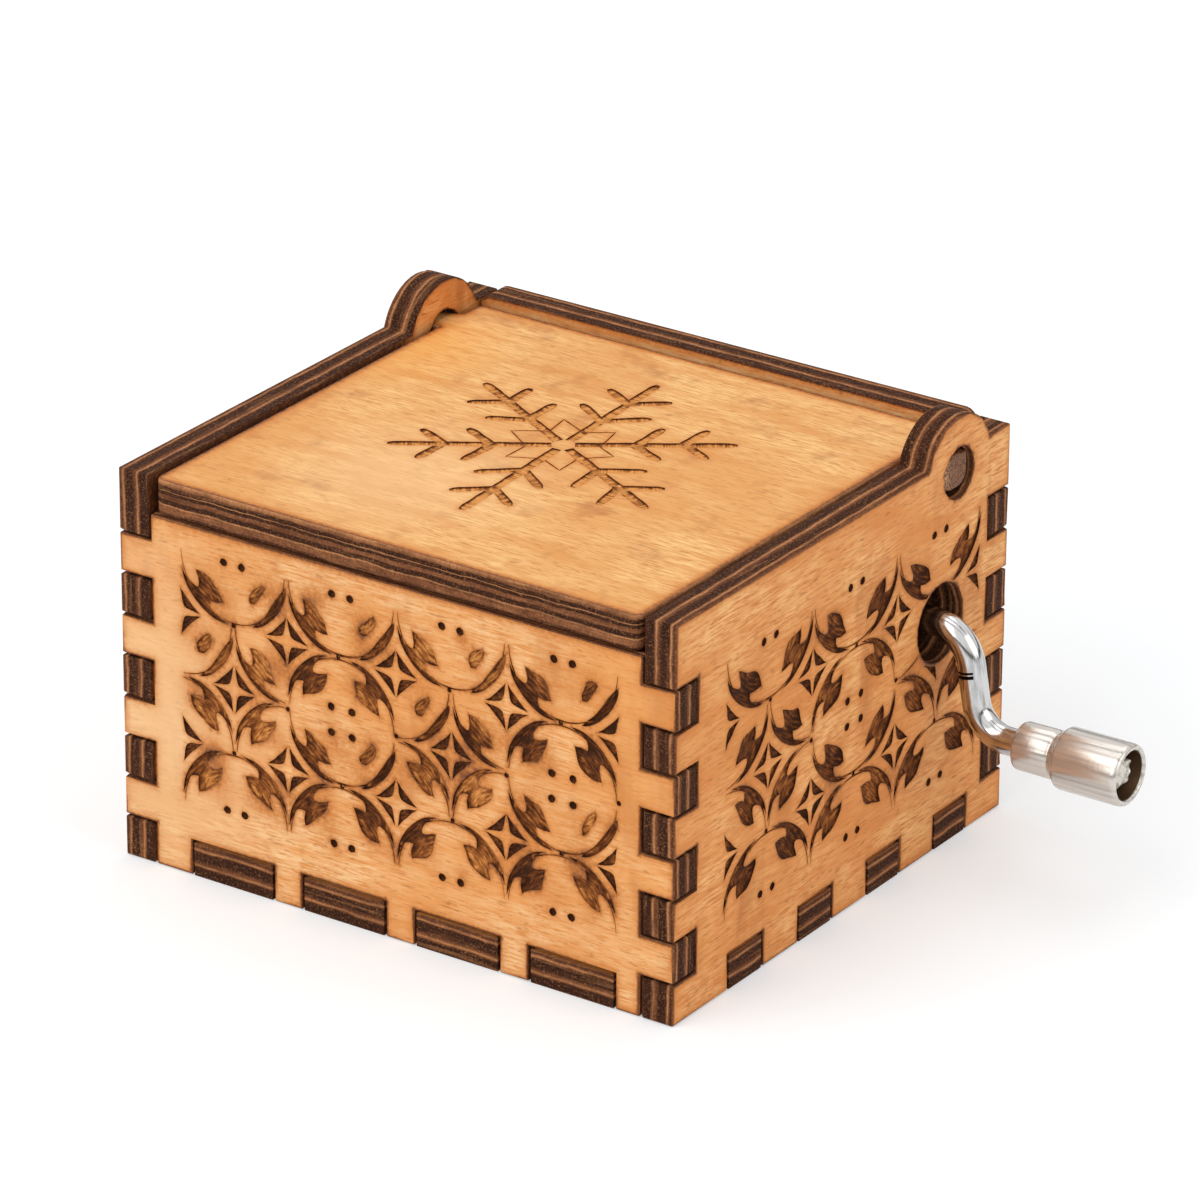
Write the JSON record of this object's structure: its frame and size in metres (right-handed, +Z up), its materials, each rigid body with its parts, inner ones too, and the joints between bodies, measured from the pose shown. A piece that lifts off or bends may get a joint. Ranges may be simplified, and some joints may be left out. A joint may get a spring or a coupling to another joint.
{
  "type": "hand-cranked music box",
  "caption": "Finger-jointed plywood box with a lid hinged on wooden pegs, a comb and pinned drum inside, and a bent side crank that turns the drum through a worm.",
  "frame": {"origin": "centre of the box's underside, on the surface it stands on", "axes": "+X towards the crank, +Y towards the hinged rear edge (the front is -Y), +Z up"},
  "size_m": [0.0857, 0.058, 0.045],
  "materials": {
    "birch_ply": "bare laser-cut plywood, satin, edges burnt brown",
    "lid_ply": "bare laser-cut plywood, satin, lighter than the walls",
    "cast_zinc": "die-cast zinc alloy, fine sand texture",
    "bright_steel": "bright turned steel",
    "comb_steel": "ground spring steel",
    "bracket_steel": "zinc-plated sheet steel",
    "drum_brass": "turned brass",
    "crank_chrome": "bright chrome plate",
    "knob_nickel": "satin nickel plate, turned"
  },
  "bodies": {
    "box": {"front_panel": "birch_ply", "back_panel": "birch_ply", "left_panel": "birch_ply", "right_panel": "birch_ply", "bottom_panel": "birch_ply", "bedplate": "cast_zinc", "bedplate_screw_1": "bright_steel", "bedplate_screw_2": "bright_steel", "bedplate_screw_3": "bright_steel", "comb": "comb_steel", "comb_screw_1": "bright_steel", "comb_screw_2": "bright_steel", "worm_bracket_inner": "bracket_steel", "worm_bracket_outer": "bracket_steel", "bracket_screw_1": "bright_steel", "bracket_screw_2": "bright_steel"},
    "lid": {"lid": "lid_ply"},
    "crank": {"worm_shaft": "bright_steel", "worm_washer": "bright_steel", "crank_handle": "crank_chrome"},
    "knob": {"crank_knob": "knob_nickel"},
    "drum": {"drum": "drum_brass", "drum_cap_front": "drum_brass", "drum_cap_rear": "drum_brass", "drum_gear": "drum_brass", "drum_shaft": "bright_steel", "shaft_clip_front": "bright_steel", "shaft_clip_rear": "bright_steel"}
  },
  "joints": [
    {"name": "lid_hinge", "type": "hinge", "parent": "box", "child": "lid", "pos_m": [0, 0.0197, 0.03905], "axis": [-1, 0, 0], "range_deg": [0, 138]},
    {"name": "crank_turn", "type": "hinge", "parent": "box", "child": "crank", "pos_m": [0.0363, 0.0169, 0.0243], "axis": [1, 0, 0], "continuous": true},
    {"name": "knob_spin", "type": "hinge", "parent": "crank", "child": "knob", "pos_m": [0.0416, 0.0169, 0.0139], "axis": [1, 0, 0], "continuous": true},
    {"name": "drum_turn", "type": "hinge", "parent": "box", "child": "drum", "pos_m": [0.009, 0, 0.01533], "axis": [0, 1, 0], "continuous": true}
  ],
  "couplings": [
    {"joint": "drum_turn", "follows": "crank_turn", "ratio": -0.05}
  ]
}
